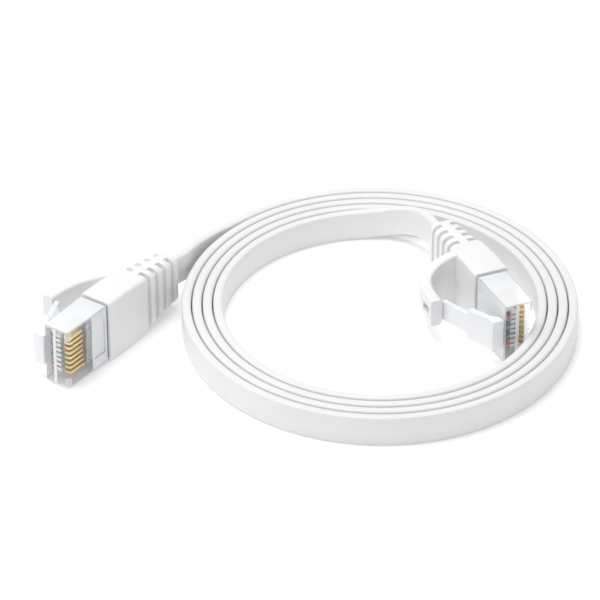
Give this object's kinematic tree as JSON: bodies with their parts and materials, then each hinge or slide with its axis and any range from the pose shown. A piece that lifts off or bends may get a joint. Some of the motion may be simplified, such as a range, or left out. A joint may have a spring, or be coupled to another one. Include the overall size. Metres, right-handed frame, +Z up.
{
  "type": "ethernet patch cable",
  "caption": "Flat white ribbon network cable wound in a flat coil, with clear modular plugs in ribbed snag-proof boots at both ends.",
  "frame": {"origin": "on the ground, under the middle of the box round the two plugs with their boots, latches and guards", "axes": "+Z up from the ground, across the ribbon's width and along the rows of contacts; +X from plug a to plug b, the longest way across the two plugs; +Y to the far side of the coil"},
  "size_m": [0.0981, 0.0774, 0.0124],
  "materials": {
    "clear_plastic": "clear polished polycarbonate",
    "boot_rubber": "white moulded soft plastic, satin",
    "cable_jacket": "white extruded jacket, satin",
    "gold_contacts": "gold plated, polished",
    "insulation_white_orange": "coloured insulation, satin",
    "insulation_orange": "coloured insulation, satin",
    "insulation_white_green": "coloured insulation, satin",
    "insulation_blue": "coloured insulation, satin",
    "insulation_white_blue": "coloured insulation, satin",
    "insulation_green": "coloured insulation, satin",
    "insulation_white_brown": "coloured insulation, satin",
    "insulation_brown": "coloured insulation, satin"
  },
  "bodies": {
    "cable_and_plugs": {"plug_a_housing": "clear_plastic", "plug_a_wire_comb": "clear_plastic", "plug_a_boot": "boot_rubber", "plug_a_jacket_end": "cable_jacket", "plug_a_contact_1": "gold_contacts", "plug_a_contact_2": "gold_contacts", "plug_a_contact_3": "gold_contacts", "plug_a_contact_4": "gold_contacts", "plug_a_contact_5": "gold_contacts", "plug_a_contact_6": "gold_contacts", "plug_a_contact_7": "gold_contacts", "plug_a_contact_8": "gold_contacts", "plug_a_conductor_1": "insulation_white_orange", "plug_a_conductor_2": "insulation_orange", "plug_a_conductor_3": "insulation_white_green", "plug_a_conductor_4": "insulation_blue", "plug_a_conductor_5": "insulation_white_blue", "plug_a_conductor_6": "insulation_green", "plug_a_conductor_7": "insulation_white_brown", "plug_a_conductor_8": "insulation_brown", "plug_b_housing": "clear_plastic", "plug_b_wire_comb": "clear_plastic", "plug_b_boot": "boot_rubber", "plug_b_jacket_end": "cable_jacket", "plug_b_contact_1": "gold_contacts", "plug_b_contact_2": "gold_contacts", "plug_b_contact_3": "gold_contacts", "plug_b_contact_4": "gold_contacts", "plug_b_contact_5": "gold_contacts", "plug_b_contact_6": "gold_contacts", "plug_b_contact_7": "gold_contacts", "plug_b_contact_8": "gold_contacts", "plug_b_conductor_1": "insulation_white_orange", "plug_b_conductor_2": "insulation_orange", "plug_b_conductor_3": "insulation_white_green", "plug_b_conductor_4": "insulation_blue", "plug_b_conductor_5": "insulation_white_blue", "plug_b_conductor_6": "insulation_green", "plug_b_conductor_7": "insulation_white_brown", "plug_b_conductor_8": "insulation_brown", "cable_lead_a": "cable_jacket", "cable_coil": "cable_jacket", "cable_lead_b": "cable_jacket"},
    "latch_a": {"plug_a_latch": "clear_plastic"},
    "guard_a": {"plug_a_latch_guard": "boot_rubber"},
    "latch_b": {"plug_b_latch": "clear_plastic"},
    "guard_b": {"plug_b_latch_guard": "boot_rubber"}
  },
  "joints": [
    {"name": "latch_a_press", "type": "hinge", "parent": "cable_and_plugs", "child": "latch_a", "pos_m": [-0.04278, -0.01634, 0.0062], "axis": [0, 0, -1], "range_deg": [0, 14], "stiffness_Nm_per_rad": 0.1},
    {"name": "guard_a_flex", "type": "hinge", "parent": "cable_and_plugs", "child": "guard_a", "pos_m": [-0.03168, 0.00055, 0.0062], "axis": [0, 0, 1], "range_deg": [0, 14], "stiffness_Nm_per_rad": 0.05},
    {"name": "latch_b_press", "type": "hinge", "parent": "cable_and_plugs", "child": "latch_b", "pos_m": [0.03884, -0.0115, 0.0062], "axis": [0, 0, -1], "range_deg": [0, 14], "stiffness_Nm_per_rad": 0.1},
    {"name": "guard_b_flex", "type": "hinge", "parent": "cable_and_plugs", "child": "guard_b", "pos_m": [0.03021, 0.00678, 0.0062], "axis": [0, 0, 1], "range_deg": [0, 14], "stiffness_Nm_per_rad": 0.05}
  ],
  "couplings": [
    {"joint": "guard_a_flex", "follows": "latch_a_press", "ratio": 1},
    {"joint": "guard_b_flex", "follows": "latch_b_press", "ratio": 1}
  ]
}
